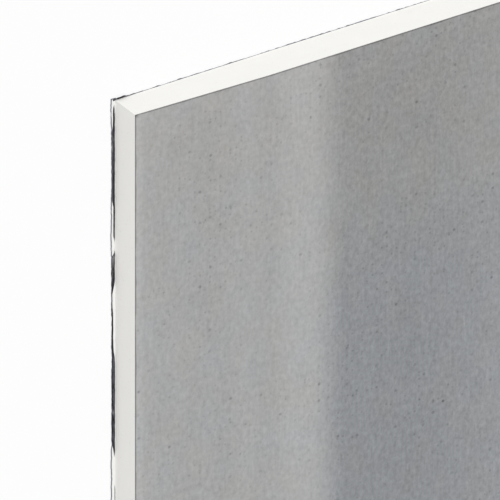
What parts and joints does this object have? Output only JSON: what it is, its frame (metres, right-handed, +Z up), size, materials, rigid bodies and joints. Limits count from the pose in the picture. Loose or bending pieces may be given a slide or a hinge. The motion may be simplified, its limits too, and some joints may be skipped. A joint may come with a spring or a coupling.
{
  "type": "drywall sheet",
  "caption": "Foil-backed drywall sheet: gypsum core under a grey face paper, tapered along both long edges, one sawn and one paper-bound, with a metal foil liner on the back; lines walls and ceilings.",
  "frame": {"origin": "centre of the underside, on the floor that the sheet lies on", "axes": "+Z up out of the grey face, +Y along the length, +X across the width from the sawn long edge towards the paper-bound one"},
  "size_m": [1.2, 2.4, 0.0125],
  "materials": {
    "gypsum": "matte, chalky white, sawn",
    "grey_paper": "matte grey recycled board paper with fine dark specks",
    "foil": "crinkled dark silver metallised film"
  },
  "bodies": {
    "root": {"gypsum_core": "gypsum", "face_paper": "grey_paper", "foil_backing": "foil"}
  },
  "joints": []
}
